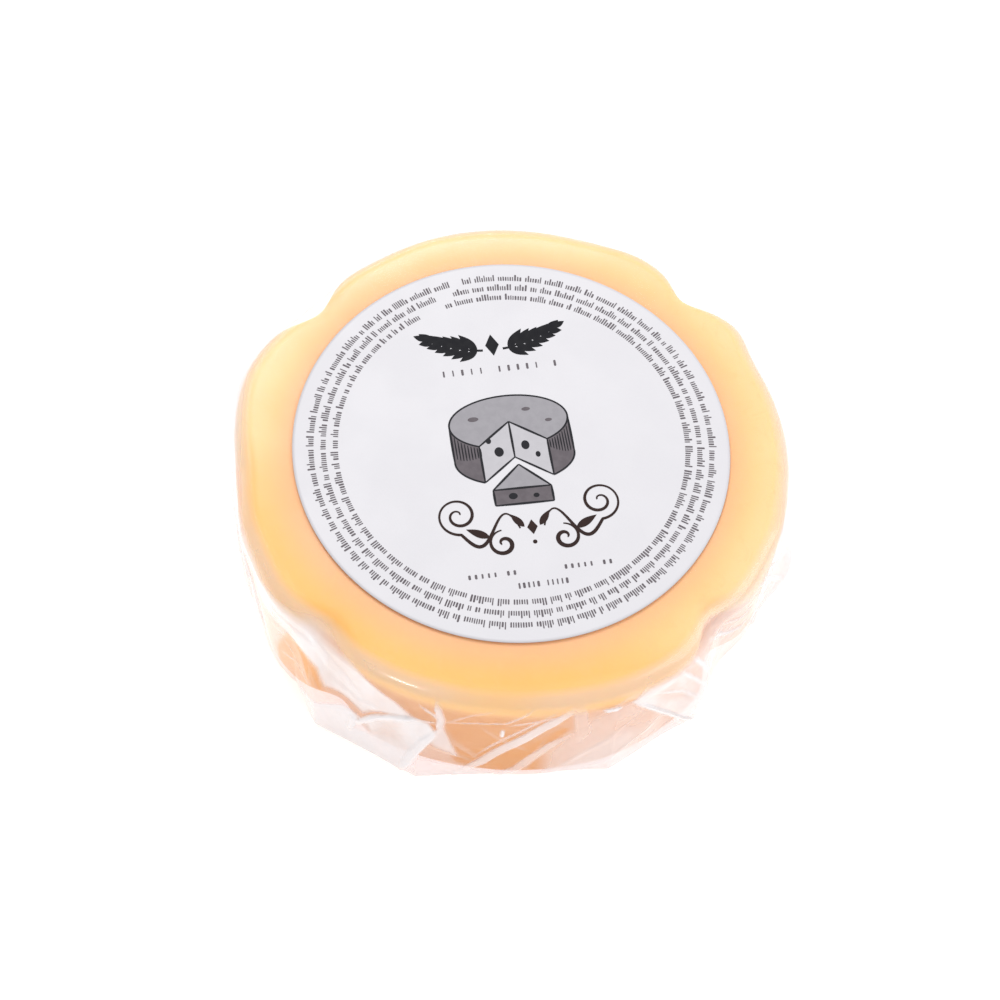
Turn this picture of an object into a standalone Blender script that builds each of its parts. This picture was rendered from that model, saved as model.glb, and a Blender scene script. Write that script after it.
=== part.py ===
"""Film-wrapped round of provolone cheese with a round paper label on top.

Metres, +Z up. The round lies flat on its base at z = 0, and the origin is the
middle of the pack's footprint.
"""

import math

import bmesh
import bpy
import numpy as np

MM = 0.001

# Label: a thin paper disc stuck on the film over the flat top.
LABEL_RADIUS = 40.0
LABEL_THICKNESS = 0.25
LABEL_GAP = 0.3
LABEL_SEGMENTS = 96

# Cheese round, measured about the label's centre.
HEIGHT = 31.0
CHEESE_RADIUS = 51.0
CHEESE_OFFSET_Y = -0.8
TOP_EDGE_RADIUS = 3.6
BASE_EDGE_RADIUS = 1.4

# Marks left by the binding cords: angle at the top, depth, half width and how
# far the mark leans round by the base (degrees).
CORD_GROOVES = (
    (51.5, 2.4, 5.5, 0.0),
    (147.0, 3.2, 6.5, 0.0),
    (193.0, 1.6, 8.0, 16.0),
    (235.0, 3.4, 5.5, 3.0),
    (321.0, 3.6, 6.5, 9.0),
)
# Shoulders and flats of the hand-bound outline: angle, height and half width.
SHOULDERS = (
    (8.0, 0.6, 20.0),
    (38.0, 1.5, 6.0),
    (66.0, 1.0, 9.0),
    (130.0, -0.7, 13.0),
    (168.0, 1.0, 11.0),
    (222.0, 0.6, 7.0),
    (300.0, 0.7, 16.0),
)

# Wrap: tight over the top, loose and straight-sided towards the base.
WRAP_CLEARANCE = 0.35
FOOTPRINT_CORNERS = (
    (2.0, 53.6),
    (24.0, 53.2),
    (50.0, 51.2),
    (72.0, 52.4),
    (98.0, 51.4),
    (126.0, 51.2),
    (146.0, 49.8),
    (164.0, 52.4),
    (184.0, 52.0),
    (202.0, 51.2),
    (211.0, 49.8),
    (222.0, 51.2),
    (236.5, 55.0),
    (258.5, 55.5),
    (296.0, 54.4),
    (318.5, 53.6),
    (330.0, 47.4),
    (342.0, 52.2),
)
# Loose pleats that stand out part way up: angle, height share, reach, half
# width (degrees) and half height (share of the height).
PLEATS = (
    (347.5, 0.56, 3.9, 5.0, 0.28),
    (172.0, 0.76, 1.3, 9.0, 0.20),
    (236.0, 0.46, 1.6, 4.5, 0.34),
    (316.0, 0.40, 1.3, 4.0, 0.30),
    (116.0, 0.74, 0.8, 8.0, 0.22),
)

ANGLE_STEPS = 180
SIDE_LEVELS = 7
EDGE_STEPS = 4

CHEESE_COLOUR = (0.965, 0.640, 0.270, 1.0)
LABEL_COLOUR = (0.840, 0.836, 0.870, 1.0)


def wrapped_degrees(angle):
    """Signed difference folded into -180 to 180 degrees."""
    return (angle + 180.0) % 360.0 - 180.0


def cheese_radius(degrees, share):
    """Outline of the cheese at an angle and a share of the height, in mm."""
    angle = math.radians(degrees)
    along = CHEESE_OFFSET_Y * math.sin(angle)
    across = CHEESE_OFFSET_Y * math.cos(angle)
    radius = along + math.sqrt(CHEESE_RADIUS**2 - across**2)
    for centre, depth, width, lean in CORD_GROOVES:
        offset = wrapped_degrees(degrees - centre - lean * (1.0 - share))
        radius -= depth * math.exp(-((offset / width) ** 2))
    for centre, rise, width in SHOULDERS:
        offset = wrapped_degrees(degrees - centre)
        radius += rise * math.exp(-((offset / width) ** 2))
    return radius


def footprint_radius(degrees):
    """Straight-edged outline of the wrap's base at an angle, in mm."""
    count = len(FOOTPRINT_CORNERS)
    for index in range(count):
        first = FOOTPRINT_CORNERS[index]
        second = FOOTPRINT_CORNERS[(index + 1) % count]
        span = (second[0] - first[0]) % 360.0
        offset = (degrees - first[0]) % 360.0
        if offset <= span:
            break
    opening = math.radians(span)
    here = math.radians(offset)
    left = first[1] * math.sin(here)
    right = second[1] * math.sin(opening - here)
    chord = first[1] * second[1] * math.sin(opening) / (left + right)
    return chord


def wrap_radius(degrees, share):
    """Outer radius of the wrap at an angle and a share of the height, in mm."""
    tight = cheese_radius(degrees, share) + WRAP_CLEARANCE
    loose = max(footprint_radius(degrees), tight)
    slack = (1.0 - share) ** 1.35
    radius = tight + (loose - tight) * slack
    for centre, level, reach, width, rise in PLEATS:
        around = (wrapped_degrees(degrees - centre) / width) ** 2
        upward = ((share - level) / rise) ** 2
        radius += reach * math.exp(-around - upward)
    return radius


def wrap_profile():
    """Pairs of inset (mm) and height (mm), from the base edge to the top edge."""
    profile = []
    for step in range(EDGE_STEPS + 1):
        turn = 0.5 * math.pi * step / EDGE_STEPS
        inset = BASE_EDGE_RADIUS * (1.0 - math.sin(turn))
        profile.append((inset, BASE_EDGE_RADIUS * (1.0 - math.cos(turn))))
    low = BASE_EDGE_RADIUS
    high = HEIGHT - TOP_EDGE_RADIUS
    for level in range(1, SIDE_LEVELS):
        profile.append((0.0, low + (high - low) * level / SIDE_LEVELS))
    for step in range(EDGE_STEPS + 1):
        turn = 0.5 * math.pi * step / EDGE_STEPS
        inset = TOP_EDGE_RADIUS * (1.0 - math.cos(turn))
        profile.append((inset, high + TOP_EDGE_RADIUS * math.sin(turn)))
    return profile


def make_material(name, colour, roughness):
    """A plain Principled material."""
    material = bpy.data.materials.new(name)
    material.use_nodes = True
    shader = material.node_tree.nodes["Principled BSDF"]
    shader.inputs["Base Color"].default_value = colour
    shader.inputs["Roughness"].default_value = roughness
    return material


def make_object(name, points, faces, material, smooth_count):
    """Mesh object in metres. The first smooth_count faces are shaded smooth."""
    mesh = bpy.data.meshes.new(name)
    mesh.from_pydata([tuple(point) for point in points], [], faces)
    work = bmesh.new()
    work.from_mesh(mesh)
    work.faces.ensure_lookup_table()
    for index, face in enumerate(work.faces):
        face.smooth = index < smooth_count
    bmesh.ops.recalc_face_normals(work, faces=work.faces)
    work.to_mesh(mesh)
    work.free()
    mesh.materials.append(material)
    made = bpy.data.objects.new(name, mesh)
    bpy.context.scene.collection.objects.link(made)
    return made


def loft(rings):
    """Faces that join equal rings of points, bottom to top, and cap both ends."""
    count = len(rings[0])
    faces = []
    for level in range(len(rings) - 1):
        lower = level * count
        upper = lower + count
        for step in range(count):
            after = (step + 1) % count
            faces.append((lower + step, lower + after, upper + after, upper + step))
    sides = len(faces)
    faces.append(tuple(reversed(range(count))))
    last = (len(rings) - 1) * count
    faces.append(tuple(range(last, last + count)))
    return faces, sides


def wrap_rings():
    """Rings of points of the wrapped round about the label's centre, in mm."""
    rings = []
    for inset, height in wrap_profile():
        ring = []
        for step in range(ANGLE_STEPS):
            degrees = 360.0 * step / ANGLE_STEPS
            angle = math.radians(degrees)
            radius = wrap_radius(degrees, height / HEIGHT) - inset
            ring.append((radius * math.cos(angle), radius * math.sin(angle), height))
        rings.append(ring)
    return rings


def label_rings():
    """Rings of points of the paper label, in mm."""
    rings = []
    low = HEIGHT + LABEL_GAP
    for height in (low, low + LABEL_THICKNESS):
        ring = []
        for step in range(LABEL_SEGMENTS):
            angle = 2.0 * math.pi * step / LABEL_SEGMENTS
            across = LABEL_RADIUS * math.cos(angle)
            ring.append((across, LABEL_RADIUS * math.sin(angle), height))
        rings.append(ring)
    return rings


def main():
    """Build the wrapped round and its label, centred on the footprint."""
    for old in list(bpy.data.objects):
        bpy.data.objects.remove(old)
    wrap = wrap_rings()
    label = label_rings()
    outer = np.array([point for ring in wrap for point in ring])
    middle = (outer.min(axis=0) + outer.max(axis=0)) / 2.0
    shift = np.array((middle[0], middle[1], 0.0))
    finishes = {
        "wrapped_cheese": make_material("wrapped_cheese", CHEESE_COLOUR, 0.35),
        "label": make_material("label", LABEL_COLOUR, 0.6),
    }
    for name, rings in (("wrapped_cheese", wrap), ("label", label)):
        points = np.array([point for ring in rings for point in ring])
        faces, sides = loft(rings)
        make_object(name, (points - shift) * MM, faces, finishes[name], sides)


main()
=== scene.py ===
"""Looks of a film-wrapped provolone round: cheese, clear film, paper label and studio."""

from __future__ import annotations

import logging
import math
from dataclasses import dataclass, field
from enum import Enum
from typing import Any

import bpy
import numpy as np
from mathutils import Matrix, Vector

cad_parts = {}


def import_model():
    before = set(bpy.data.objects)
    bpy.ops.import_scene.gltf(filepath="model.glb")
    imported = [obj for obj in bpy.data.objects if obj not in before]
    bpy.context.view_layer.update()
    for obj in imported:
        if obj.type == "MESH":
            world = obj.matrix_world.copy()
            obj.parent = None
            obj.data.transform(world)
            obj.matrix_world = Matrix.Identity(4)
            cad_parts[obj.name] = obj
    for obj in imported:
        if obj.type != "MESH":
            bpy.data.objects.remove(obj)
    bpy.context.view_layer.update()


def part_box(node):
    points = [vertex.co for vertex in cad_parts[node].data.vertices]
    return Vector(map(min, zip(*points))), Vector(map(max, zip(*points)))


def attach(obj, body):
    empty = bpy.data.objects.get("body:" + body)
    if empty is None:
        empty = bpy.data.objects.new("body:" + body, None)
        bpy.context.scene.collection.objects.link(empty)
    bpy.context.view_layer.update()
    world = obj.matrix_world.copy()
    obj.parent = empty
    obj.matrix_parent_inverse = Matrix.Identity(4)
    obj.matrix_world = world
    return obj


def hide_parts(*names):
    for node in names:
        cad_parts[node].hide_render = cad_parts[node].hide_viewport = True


MM = 0.001
LOG = logging.getLogger("provolone_round")
Array = np.ndarray
Colour = tuple[float, float, float, float]
ARC = 0.905  # mm along the film's side for each degree round the label


class Layer(Enum):
    """Names of the record's material slots for the wrap and the label."""

    WRAP = "wrapped_cheese"
    LABEL = "label"


# --------------------------------------------------------------------------
# Small helpers for node trees and meshes
# --------------------------------------------------------------------------


class NodeSketch:
    """Thin wrapper that adds nodes to one tree and links them by name."""

    def __init__(self, tree: bpy.types.NodeTree) -> None:
        """Keep the tree.

        Args:
            tree: node tree that the nodes go into.
        """
        self.tree = tree
        self.count = 0

    def add(self, kind: str, settings: dict[str, Any] | None = None, **inputs: Any) -> Any:
        """Add one node.

        Args:
            kind: node type without the ShaderNode prefix.
            settings: attributes to set on the node itself.
            **inputs: socket values or links, with underscores for spaces.

        Returns:
            The new node.
        """
        node = self.tree.nodes.new("ShaderNode" + kind)
        node.location = (180.0 * (self.count % 8), -220.0 * (self.count // 8))
        self.count += 1
        for name, value in (settings or {}).items():
            setattr(node, name, value)
        for name, value in inputs.items():
            self.feed(node, name.replace("_", " "), value)
        return node

    def feed(self, node: Any, socket: str | int, value: Any) -> None:
        """Link or set one input.

        Args:
            node: node that owns the input.
            socket: socket name or index.
            value: a plain value, or an output socket to link from.
        """
        target = node.inputs[socket]
        if isinstance(value, bpy.types.NodeSocket):
            self.tree.links.new(value, target)
        else:
            target.default_value = value

    def maths(self, operation: str, first: Any, second: Any = 0.0, third: Any = 0.0) -> Any:
        """Scalar maths.

        Args:
            operation: Math node operation.
            first: first operand.
            second: second operand.
            third: third operand, used by a few operations.

        Returns:
            The result socket.
        """
        node = self.add("Math", {"operation": operation})
        for index, value in enumerate((first, second, third)):
            self.feed(node, index, value)
        return node.outputs[0]

    def blend(self, factor: Any, first: Any, second: Any, mode: str = "MIX") -> Any:
        """Mix two colours.

        Args:
            factor: mix factor.
            first: colour at factor 0.
            second: colour at factor 1.
            mode: blend mode.

        Returns:
            The mixed colour socket.
        """
        node = self.add("Mix", {"data_type": "RGBA", "blend_type": mode})
        self.feed(node, 0, factor)
        self.feed(node, 6, first)
        self.feed(node, 7, second)
        return node.outputs[2]

    def ramp(self, factor: Any, low: float, high: float, smooth: bool = True) -> Any:
        """Map a value from low..high to 0..1.

        Args:
            factor: value to map.
            low: value that gives 0.
            high: value that gives 1.
            smooth: ease both ends.

        Returns:
            The mapped socket.
        """
        kind = "SMOOTHSTEP" if smooth else "LINEAR"
        node = self.add("MapRange", {"interpolation_type": kind, "clamp": True})
        for index, value in enumerate((factor, low, high, 0.0, 1.0)):
            self.feed(node, index, value)
        return node.outputs[0]


class MottleGroup:
    """Shader node group: soft cloudy variation with a finer grain on top."""

    NAME = "mottle"

    @classmethod
    def get(cls) -> bpy.types.NodeTree:
        """Build the group once.

        Returns:
            The node group.
        """
        found = bpy.data.node_groups.get(cls.NAME)
        if found is not None:
            return found
        tree = bpy.data.node_groups.new(cls.NAME, "ShaderNodeTree")
        face = tree.interface
        face.new_socket("Vector", in_out="INPUT", socket_type="NodeSocketVector")
        for name, value in (("Broad Scale", 40.0), ("Fine Scale", 600.0), ("Grain", 0.3)):
            socket = face.new_socket(name, in_out="INPUT", socket_type="NodeSocketFloat")
            socket.default_value = value
        face.new_socket("Cloud", in_out="OUTPUT", socket_type="NodeSocketFloat")
        face.new_socket("Height", in_out="OUTPUT", socket_type="NodeSocketFloat")
        sketch = NodeSketch(tree)
        given = tree.nodes.new("NodeGroupInput")
        made = tree.nodes.new("NodeGroupOutput")
        broad = sketch.add("TexNoise", Detail=3.0, Roughness=0.55)
        tree.links.new(given.outputs["Vector"], broad.inputs["Vector"])
        tree.links.new(given.outputs["Broad Scale"], broad.inputs["Scale"])
        fine = sketch.add("TexNoise", Detail=4.0, Roughness=0.6)
        tree.links.new(given.outputs["Vector"], fine.inputs["Vector"])
        tree.links.new(given.outputs["Fine Scale"], fine.inputs["Scale"])
        cloud = sketch.ramp(broad.outputs[0], 0.32, 0.68)
        grain = sketch.maths("MULTIPLY", fine.outputs[0], given.outputs["Grain"])
        height = sketch.maths("ADD", broad.outputs[0], grain)
        tree.links.new(cloud, made.inputs["Cloud"])
        tree.links.new(height, made.inputs["Height"])
        return tree

    @classmethod
    def place(cls, sketch: NodeSketch, vector: Any, broad: float, fine: float, grain: float) -> Any:
        """Put the group into a material.

        Args:
            sketch: the material's node sketch.
            vector: coordinates.
            broad: scale of the cloudy part.
            fine: scale of the grain.
            grain: share of the grain in the height.

        Returns:
            The group node, with outputs Cloud and Height.
        """
        node = sketch.add("Group")
        node.node_tree = cls.get()
        sketch.feed(node, "Vector", vector)
        sketch.feed(node, "Broad Scale", broad)
        sketch.feed(node, "Fine Scale", fine)
        sketch.feed(node, "Grain", grain)
        return node


def new_material(name: str) -> tuple[bpy.types.Material, NodeSketch, Any]:
    """Make an empty node material.

    Args:
        name: material name.

    Returns:
        The material, its node sketch and its output node.
    """
    material = bpy.data.materials.new(name)
    material.use_nodes = True
    tree = material.node_tree
    tree.nodes.clear()
    sketch = NodeSketch(tree)
    output = tree.nodes.new("ShaderNodeOutputMaterial")
    return material, sketch, output


def mesh_piece(
    name: str, points: Array, faces: list[tuple[int, ...]], finish: bpy.types.Material
) -> bpy.types.Object:
    """Make a smooth-shaded mesh piece.

    Args:
        name: object name.
        points: vertex positions in metres.
        faces: vertex indices of each face.
        finish: material.

    Returns:
        The new object.
    """
    mesh = bpy.data.meshes.new(name)
    mesh.from_pydata(points.tolist(), [], faces)
    mesh.polygons.foreach_set("use_smooth", [True] * len(mesh.polygons))
    mesh.update()
    mesh.materials.append(finish)
    piece = bpy.data.objects.new(name, mesh)
    bpy.context.scene.collection.objects.link(piece)
    return piece


def grid_faces(rows: int, columns: int) -> list[tuple[int, ...]]:
    """Quads of a grid that closes on itself across its columns.

    Args:
        rows: rings of points.
        columns: points in a ring.

    Returns:
        Vertex indices of each quad, facing away from the axis when the rings
        climb from the bottom.
    """
    step = np.arange(columns)
    after = (step + 1) % columns
    faces = []
    for row in range(rows - 1):
        low = row * columns
        high = low + columns
        block = np.stack([low + step, low + after, high + after, high + step], axis=1)
        faces.extend(map(tuple, block.tolist()))
    return faces


def closed_faces(rows: int, columns: int) -> list[tuple[int, ...]]:
    """Faces of a closed body made of rings, with one cap at each end.

    Args:
        rows: rings of points, from the bottom up.
        columns: points in a ring.

    Returns:
        Vertex indices of each face.
    """
    last = (rows - 1) * columns
    caps = [tuple(range(columns))[::-1], tuple(range(last, last + columns))]
    return grid_faces(rows, columns) + caps


def turned(points: Array, degrees: float) -> Array:
    """Points in a plane, turned about the origin by an angle in degrees."""
    angle = math.radians(degrees)
    spin = np.array([[math.cos(angle), -math.sin(angle)], [math.sin(angle), math.cos(angle)]])
    return points @ spin.T


def folded(degrees: Array) -> Array:
    """Angle differences folded into -180 to 180 degrees."""
    return (degrees + 180.0) % 360.0 - 180.0


# --------------------------------------------------------------------------
# Shape shared by the cheese and the film
# --------------------------------------------------------------------------


@dataclass(frozen=True)
class Mark:
    """One groove or shoulder of the outline, angles in degrees, sizes in mm."""

    angle: float
    rise: float
    width: float
    lean: float = 0.0


@dataclass
class RoundOutline:
    """Outline of the round about the label's centre, in mm."""

    label_x: float
    label_y: float
    height: float
    radius: float = 51.0
    offset_y: float = -0.8
    top_edge: float = 3.6
    base_edge: float = 1.6
    grooves: tuple[Mark, ...] = (
        Mark(51.5, -2.4, 5.5),
        Mark(147.0, -3.5, 7.5),
        Mark(193.0, -1.6, 8.0, 16.0),
        Mark(235.0, -2.7, 6.0, 3.0),
        Mark(321.0, -3.9, 6.0, 9.0),
    )
    shoulders: tuple[Mark, ...] = (
        Mark(8.0, 0.6, 20.0),
        Mark(38.0, 1.5, 6.0),
        Mark(66.0, 1.0, 9.0),
        Mark(130.0, -0.7, 13.0),
        Mark(168.0, 1.0, 11.0),
        Mark(222.0, 0.6, 7.0),
        Mark(300.0, 0.7, 16.0),
    )
    corners: tuple[tuple[float, float], ...] = (
        (2.0, 53.6),
        (24.0, 53.2),
        (50.0, 51.2),
        (72.0, 52.4),
        (98.0, 51.4),
        (126.0, 51.2),
        (146.0, 49.8),
        (164.0, 52.4),
        (184.0, 52.0),
        (202.0, 51.2),
        (211.0, 49.8),
        (222.0, 51.2),
        (236.5, 55.0),
        (258.5, 55.5),
        (296.0, 54.4),
        (318.5, 53.6),
        (330.0, 47.4),
        (342.0, 52.2),
    )

    @classmethod
    def from_frame(cls) -> RoundOutline:
        """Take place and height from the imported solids.

        Returns:
            The outline.
        """
        low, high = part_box("label")
        _, pack_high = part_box("wrapped_cheese")
        middle = (low + high) / 2.0 / MM
        return cls(middle.x, middle.y, pack_high.z / MM)

    def cheese(self, degrees: Array, share: Array, bridge: float = 1.0) -> Array:
        """Radius of the cheese.

        Args:
            degrees: angle about the label's centre.
            share: share of the height, 0 at the base.
            bridge: how much of each groove shows, 1 for all of it.

        Returns:
            Radius in mm.
        """
        angle = np.radians(degrees)
        across = self.offset_y * np.cos(angle)
        radius = self.offset_y * np.sin(angle) + np.sqrt(self.radius**2 - across**2)
        for mark in self.grooves:
            away = folded(degrees - mark.angle - mark.lean * (1.0 - share))
            radius = radius + bridge * mark.rise * np.exp(-((away / mark.width) ** 2))
        for mark in self.shoulders:
            away = folded(degrees - mark.angle)
            radius = radius + mark.rise * np.exp(-((away / mark.width) ** 2))
        return radius

    def footprint(self, degrees: Array) -> Array:
        """Radius of the straight-edged base outline of the wrap, in mm."""
        table = np.array(self.corners)
        first = (np.searchsorted(table[:, 0], degrees % 360.0, side="right") - 1) % len(table)
        second = (first + 1) % len(table)
        opening = np.radians((table[second, 0] - table[first, 0]) % 360.0)
        here = np.radians((degrees - table[first, 0]) % 360.0)
        left = table[first, 1] * np.sin(here)
        right = table[second, 1] * np.sin(opening - here)
        return table[first, 1] * table[second, 1] * np.sin(opening) / (left + right)

    def place(self, radius: Array, degrees: Array, height: Array) -> Array:
        """Turn polar sizes in mm into points in metres.

        Args:
            radius: radius in mm.
            degrees: angle.
            height: height in mm.

        Returns:
            Points, one row each, in metres.
        """
        angle = np.radians(degrees)
        across = self.label_x + radius * np.cos(angle)
        along = self.label_y + radius * np.sin(angle)
        return np.stack([across, along, height + 0.0 * radius], axis=-1).reshape(-1, 3) * MM


class Waves:
    """Seeded smooth variation over angle and height, used for hand-made unevenness."""

    def __init__(self, seed: int, count: int, turns: float, climb: float) -> None:
        """Draw the waves.

        Args:
            seed: random seed.
            count: number of waves.
            turns: most waves round the piece.
            climb: most waves up the piece.
        """
        draw = np.random.default_rng(seed)
        self.turns = draw.integers(1, int(turns) + 1, count)
        self.climb = draw.uniform(-climb, climb, count)
        self.phase = draw.uniform(0.0, 2.0 * math.pi, count)
        self.weight = draw.uniform(0.4, 1.0, count) / math.sqrt(count)

    def at(self, degrees: Array, share: Array) -> Array:
        """Value of about -1 to 1 at an angle and a share of the height."""
        angle = np.radians(degrees)
        total = 0.0 * (degrees + share)
        for turn, climb, phase, weight in zip(self.turns, self.climb, self.phase, self.weight):
            total = total + weight * np.sin(turn * angle + climb * share * 6.3 + phase)
        return total


# --------------------------------------------------------------------------
# Finishes
# --------------------------------------------------------------------------


@dataclass(frozen=True)
class CheeseFinish:
    """Pale yellow stretched-curd cheese, slightly translucent, with faint marbling, a painted glare on
    the top's outer edge and a left side painted lighter against the shade under the film.
    """

    body: Colour = (0.92, 0.520, 0.138, 1.0)
    peach: Colour = (0.91, 0.482, 0.225, 1.0)
    # rim is a painted glare colour for the top's outer edge, used more towards the back.
    rim: Colour = (0.96, 0.675, 0.325, 1.0)
    flank: Colour = (0.71, 0.305, 0.070, 1.0)
    # Painted light: the side's colour on the left, lighter to offset the shade under the film there.
    painted_lit_left_flank: Colour = (0.90, 0.455, 0.125, 1.0)
    marble: Colour = (0.93, 0.540, 0.220, 1.0)
    clouded: Colour = (0.85, 0.42, 0.11, 1.0)
    roughness: float = 0.42

    def build(self, centre: Vector) -> bpy.types.Material:
        """Make the material.

        Args:
            centre: middle of the top face in metres.

        Returns:
            The material.
        """
        material, sketch, output = new_material("provolone_paste")
        where = sketch.add("TexCoord").outputs["Object"]
        stretch = sketch.add("Mapping", Scale=(1.0, 1.0, 1.8))
        sketch.feed(stretch, "Vector", where)
        mottle = MottleGroup.place(sketch, stretch.outputs[0], 55.0, 900.0, 0.25)
        strands = sketch.add("TexNoise", Scale=240.0, Detail=5.0, Roughness=0.65, Distortion=1.6)
        sketch.feed(strands, "Vector", stretch.outputs[0])
        offset = sketch.add("VectorMath", {"operation": "SUBTRACT"})
        sketch.feed(offset, 0, where)
        sketch.feed(offset, 1, centre)
        parts = sketch.add("SeparateXYZ", Vector=offset.outputs[0])
        flat = sketch.add("CombineXYZ", X=parts.outputs[0], Y=parts.outputs[1])
        reach = sketch.add("VectorMath", {"operation": "LENGTH"})
        sketch.feed(reach, 0, flat.outputs[0])
        rim = sketch.ramp(reach.outputs["Value"], 0.0405, 0.0475)
        depth = sketch.ramp(parts.outputs[2], -0.0063, -0.0026)
        top = sketch.blend(rim, self.peach, self.body)
        # Painted glare: the top's outer edge turns to the rim colour towards the back and a little all
        # round the edge, standing in for surrounding light and film glare.
        edge = sketch.ramp(reach.outputs["Value"], 0.0385, 0.0490)
        tilted = sketch.maths("MULTIPLY_ADD", parts.outputs[0], 0.35, parts.outputs[1])
        back = sketch.ramp(tilted, -0.040, -0.014)
        glow = sketch.maths("MULTIPLY", edge, back)
        lip_glow = sketch.maths("MULTIPLY", sketch.ramp(reach.outputs["Value"], 0.0470, 0.0500), 0.34)
        top = sketch.blend(sketch.maths("MAXIMUM", glow, lip_glow), top, self.rim)
        # Painted light: the side turns to the lighter left colour on the left, offsetting shade under the
        # film.
        sideways = sketch.ramp(parts.outputs[0], -0.020, -0.034)
        flank = sketch.blend(sideways, self.flank, self.painted_lit_left_flank)
        colour = sketch.blend(depth, flank, top)
        veins = sketch.ramp(strands.outputs[0], 0.50, 0.72)
        veins = sketch.maths("MULTIPLY", veins, 0.30)
        colour = sketch.blend(veins, colour, self.marble)
        cloud = sketch.maths("MULTIPLY", mottle.outputs["Cloud"], 0.10)
        colour = sketch.blend(cloud, colour, self.clouded)
        rough = sketch.maths("MULTIPLY_ADD", mottle.outputs["Cloud"], 0.12, self.roughness - 0.06)
        bump = sketch.add("Bump", Strength=0.10, Distance=0.0006)
        sketch.feed(bump, "Height", mottle.outputs["Height"])
        shader = sketch.add("BsdfPrincipled")
        sketch.feed(shader, "Base Color", colour)
        sketch.feed(shader, "Roughness", rough)
        sketch.feed(shader, "Normal", bump.outputs[0])
        shader.inputs["Subsurface Weight"].default_value = 0.25
        shader.inputs["Subsurface Radius"].default_value = (1.0, 0.55, 0.25)
        shader.inputs["Subsurface Scale"].default_value = 0.003
        shader.inputs["Specular IOR Level"].default_value = 0.35
        sketch.tree.links.new(shader.outputs[0], output.inputs["Surface"])
        return material


@dataclass(frozen=True)
class FilmFinish:
    """Clear film: nearly invisible where it lies tight, milky in folds and creases, with painted glare
    and painted highlights carried in its haze.
    """

    milk: Colour = (0.748, 0.655, 0.674, 1.0)
    folded: Colour = (0.722, 0.695, 0.716, 1.0)
    clear: float = 0.02
    roughness: float = 0.16

    def build(self) -> bpy.types.Material:
        """Make the material.

        Returns:
            The material.
        """
        material, sketch, output = new_material("clear_film")
        haze = sketch.add("Attribute", {"attribute_name": "haze"}).outputs["Fac"]
        where = sketch.add("TexCoord").outputs["Object"]
        stretch = sketch.add("Mapping", Scale=(1.0, 1.0, 0.45))
        sketch.feed(stretch, "Vector", where)
        mottle = MottleGroup.place(sketch, stretch.outputs[0], 110.0, 700.0, 0.20)
        ridged = {"noise_type": "RIDGED_MULTIFRACTAL"}
        crinkle = sketch.add("TexNoise", ridged, Scale=95.0, Detail=2.0, Roughness=0.45)
        sketch.feed(crinkle, "Vector", stretch.outputs[0])
        loose = sketch.ramp(haze, 0.02, 0.40)
        cloud = sketch.maths("MULTIPLY_ADD", mottle.outputs["Cloud"], 0.22, 0.88)
        milky = sketch.maths("MULTIPLY", haze, cloud)
        gloss = sketch.add("LayerWeight", Blend=0.20).outputs["Fresnel"]
        seen = sketch.maths("MULTIPLY_ADD", gloss, 0.40, milky)
        seen = sketch.maths("ADD", seen, self.clear)
        seen = sketch.maths("MINIMUM", seen, 0.96)
        path = sketch.add("LightPath")
        passing = sketch.maths(
            "MAXIMUM", path.outputs["Is Shadow Ray"], path.outputs["Is Diffuse Ray"]
        )
        inner_face = sketch.add("NewGeometry").outputs["Backfacing"]
        passing = sketch.maths("MAXIMUM", passing, inner_face)
        seen = sketch.maths("MULTIPLY", seen, sketch.maths("MULTIPLY_ADD", passing, -0.78, 1.0))
        tint = sketch.ramp(haze, 0.25, 0.85)
        colour = sketch.blend(tint, self.milk, self.folded)
        bump = sketch.add("Bump", Distance=0.0006)
        sketch.feed(bump, "Height", crinkle.outputs[0])
        strength = sketch.maths("MULTIPLY_ADD", loose, 0.15, 0.01)
        sketch.feed(bump, "Strength", strength)
        shader = sketch.add("BsdfPrincipled")
        sketch.feed(shader, "Base Color", colour)
        rough = sketch.maths("MULTIPLY_ADD", mottle.outputs["Cloud"], 0.08, self.roughness)
        sketch.feed(shader, "Roughness", rough)
        sketch.feed(shader, "Normal", bump.outputs[0])
        shader.inputs["IOR"].default_value = 1.5
        shader.inputs["Specular IOR Level"].default_value = 0.9
        shader.inputs["Coat Weight"].default_value = 1.0
        shader.inputs["Coat Roughness"].default_value = 0.06
        through = sketch.add("BsdfTransparent")
        through.inputs["Color"].default_value = (0.985, 0.97, 0.98, 1.0)
        mix = sketch.add("MixShader")
        sketch.feed(mix, 0, seen)
        sketch.tree.links.new(through.outputs[0], mix.inputs[1])
        sketch.tree.links.new(shader.outputs[0], mix.inputs[2])
        sketch.tree.links.new(mix.outputs[0], output.inputs["Surface"])
        return material


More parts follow.
